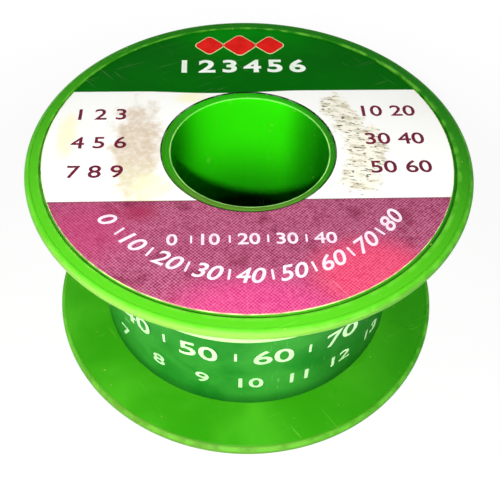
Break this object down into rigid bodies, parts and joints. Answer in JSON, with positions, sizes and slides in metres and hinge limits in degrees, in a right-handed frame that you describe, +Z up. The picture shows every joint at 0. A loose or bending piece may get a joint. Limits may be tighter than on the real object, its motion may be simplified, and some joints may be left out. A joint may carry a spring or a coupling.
{
  "type": "solder wire spool",
  "caption": "Flanged plastic spool of fine solder wire with a bore for a spindle, a round printed label on the upper flange and a paper band round the winding.",
  "frame": {"origin": "centre of the circle on which the lower rim stands", "axes": "+Z up along the bore, -Y towards the front of the labels, +X to the right seen from the front"},
  "size_m": [0.05, 0.05, 0.0256],
  "materials": {
    "green_plastic": "moulded translucent green plastic, glossy and slightly waxy, with fine handling marks",
    "solder_wire": "drawn tin-lead solder, bright grey with dull patches",
    "round_label": "coated paper printed in green, white and mauve, scuffed round the bore",
    "band_label": "glossy coated paper printed green with a white upper margin"
  },
  "bodies": {
    "root": {"spool_body": "green_plastic", "wound_wire_core": "solder_wire", "outer_turns": "solder_wire", "wire_start": "solder_wire", "top_label": "round_label", "wrap_label": "band_label"}
  },
  "joints": []
}
